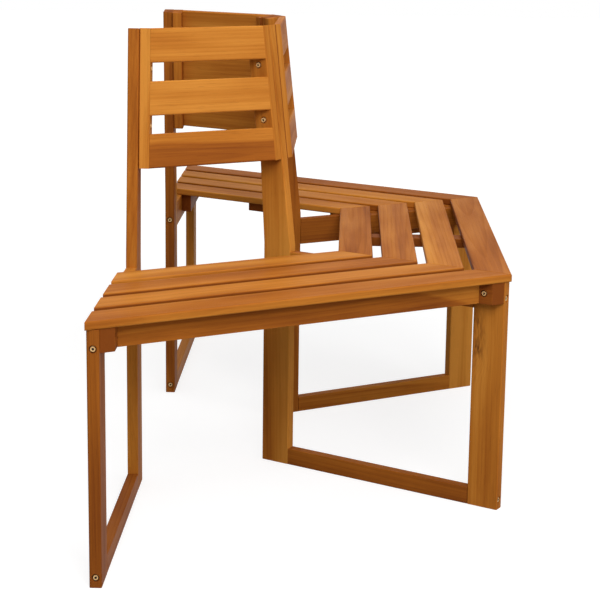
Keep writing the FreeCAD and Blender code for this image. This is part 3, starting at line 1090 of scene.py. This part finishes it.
class TREEBENCH_OT_back_panels(bpy.types.Operator):
    """Dress the stiles and lay the slats of the three back panels"""

    bl_idname = "tree_bench.back_panels"
    bl_label = "Back panels"

    def execute(self, context):
        for seat in SEATS:
            slat_run(seat + "_back_slats", slat_names(seat, "back", BACK_SLATS), "back_boards",
                     SEATS[seat][1:], *back_axes(seat))
            for side, sign, leg_frame in zip(SIDES, (-1.0, 1.0), SEATS[seat][1:]):
                stile = "%s_back_%s_stile" % (seat, side)
                degrees = LEG_FRAMES[leg_frame]
                toward_post = heading(degrees + 90.0) * sign
                axes = upright_axes(stile, heading(degrees))
                # Painted shade on the stile's edges that turn toward its post
                dress_board(stile, "back_boards", *axes, seam=toward_post)
        return {"FINISHED"}


class TREEBENCH_OT_fasteners(bpy.types.Operator):
    """Set the socket-head bolts and finish the hidden screws and pegs"""

    bl_idname = "tree_bench.fasteners"
    bl_label = "Fasteners"

    def execute(self, context):
        for node in ("frame_bolts", "cleat_bolts", "back_bolts"):
            dress_bolts(node)
        for node, finish in (("seat_screws", "screws"), ("back_dowels", "dowels")):
            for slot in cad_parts[node].material_slots:
                slot.material = finish_material(finish)
        return {"FINISHED"}


def camera_axes(studio):
    """Right, up and forward directions of the camera."""
    yaw, pitch, roll = studio.camera_yaw, studio.camera_pitch, studio.camera_roll
    level = math.cos(pitch)
    forward = Vector((math.cos(yaw) * level, math.sin(yaw) * level, -math.sin(pitch)))
    right = Vector((math.sin(yaw), -math.cos(yaw), 0.0))
    rise = right.cross(forward)
    rolled_right = right * math.cos(roll) + rise * math.sin(roll)
    rolled_rise = rise * math.cos(roll) - right * math.sin(roll)
    return rolled_right, rolled_rise, forward


def area_lamp(name, place, size, power):
    """A round lamp that aims at the bench."""
    lamp = bpy.data.lights.new(name, "AREA")
    lamp.shape = "DISK"
    lamp.size = size
    lamp.energy = power
    holder = bpy.data.objects.new(name, lamp)
    holder.location = place
    aim = Vector(LAMP_TARGET) - Vector(place)
    holder.rotation_euler = aim.to_track_quat("-Z", "Y").to_euler()
    bpy.context.scene.collection.objects.link(holder)


def seen_directly(tree):
    """1 for rays from the camera, and for what a glossy surface mirrors."""
    ray = tree.nodes.new("ShaderNodeLightPath").outputs
    return maths(tree, "MAXIMUM", ray["Is Camera Ray"], ray["Is Glossy Ray"])


def paper_floor(studio):
    """Pale floor that the camera sees as white, with the bench's shadow kept."""
    material, tree, shader = new_material("paper_floor")
    tree.nodes.remove(shader)
    pale, dull = studio.floor_tone, studio.floor_tone * FLECK_DULL
    place = object_place(tree)
    flecks = noise(tree, place, "paper_flecks")
    paper = mix_colour(tree, flecks, (pale, pale, pale, 1.0), (dull, dull, dull, 1.0))
    matte = add_node(tree, "ShaderNodeBsdfDiffuse", {"Color": paper})
    away = add_node(tree, "ShaderNodeVectorMath", {0: place}, operation="LENGTH")
    glow_there = remap(tree, away.outputs["Value"], *GLOW_REACH, studio.floor_glow, 1.0)
    strength = product(tree, seen_directly(tree), glow_there)
    glow = add_node(tree, "ShaderNodeEmission", {"Strength": strength})
    both = add_node(tree, "ShaderNodeAddShader", {0: matte.outputs[0], 1: glow.outputs[0]})
    tree.links.new(both.outputs[0], tree.nodes["Material Output"].inputs["Surface"])
    return material


class TREEBENCH_OT_stage(bpy.types.Operator):
    """Make the floor, lamps and camera"""

    bl_idname = "tree_bench.stage"
    bl_label = "Stage"

    def execute(self, context):
        studio = settings().studio
        scene = context.scene
        scene.view_settings.view_transform = "Standard"

        mesh = bpy.data.meshes.new("floor")
        half = FLOOR_HALF
        corners = [(-half, -half, 0), (half, -half, 0), (half, half, 0), (-half, half, 0)]
        mesh.from_pydata(corners, [], [(0, 1, 2, 3)])
        floor = new_piece("floor", mesh)
        mesh.materials.append(paper_floor(studio))

        world = bpy.data.worlds.new("studio")
        scene.world = world
        world.use_nodes = True
        tree = world.node_tree
        seen = product(tree, seen_directly(tree), 1.0 - studio.sky)
        set_sockets(tree, tree.nodes["Background"], {
            "Strength": sum_of(tree, studio.sky, seen), "Color": WHITE})

        for name, (place, size) in LAMPS.items():
            area_lamp(name, place, size, getattr(studio, name + "_power"))

        lens = bpy.data.cameras.new("camera")
        lens.sensor_fit = "HORIZONTAL"
        lens.sensor_width = SENSOR_WIDTH
        lens.lens = studio.lens
        lens.shift_y = studio.shift
        camera = bpy.data.objects.new("camera", lens)
        right, rise, forward = camera_axes(studio)
        turn = Matrix((right, rise, -forward)).transposed().to_4x4()
        camera.matrix_world = Matrix.Translation(studio.camera_place) @ turn
        scene.collection.objects.link(camera)
        scene.camera = camera
        return {"FINISHED"}


OPERATORS = (
    TREEBENCH_OT_leg_frames,
    TREEBENCH_OT_seat_slats,
    TREEBENCH_OT_seat_supports,
    TREEBENCH_OT_back_panels,
    TREEBENCH_OT_fasteners,
    TREEBENCH_OT_stage,
)


class TREEBENCH_PT_panel(bpy.types.Panel):
    """Settings and steps of the tree bench"""

    bl_label = "Tree bench"
    bl_idname = "TREEBENCH_PT_panel"
    bl_space_type = "VIEW_3D"
    bl_region_type = "UI"
    bl_category = "Tree bench"

    def draw(self, context):
        layout = self.layout
        bench = settings()
        for group in (bench.wood, bench.sizes, bench.studio):
            box = layout.box()
            for name in group.__annotations__:
                box.prop(group, name)
        for operator in OPERATORS:
            layout.operator(operator.bl_idname)


CLASSES = (WoodLook, BoardSizes, Studio, TreeBench, *OPERATORS, TREEBENCH_PT_panel)


def register():
    for cls in CLASSES:
        bpy.utils.register_class(cls)
    bpy.types.Scene.tree_bench = PointerProperty(type=TreeBench)


def unregister():
    del bpy.types.Scene.tree_bench
    for cls in reversed(CLASSES):
        bpy.utils.unregister_class(cls)


def main():
    register()
    bpy.ops.tree_bench.leg_frames()
    bpy.ops.tree_bench.seat_slats()
    bpy.ops.tree_bench.seat_supports()
    bpy.ops.tree_bench.back_panels()
    bpy.ops.tree_bench.fasteners()
    bpy.ops.tree_bench.stage()


if __name__ == "__main__":
    main()
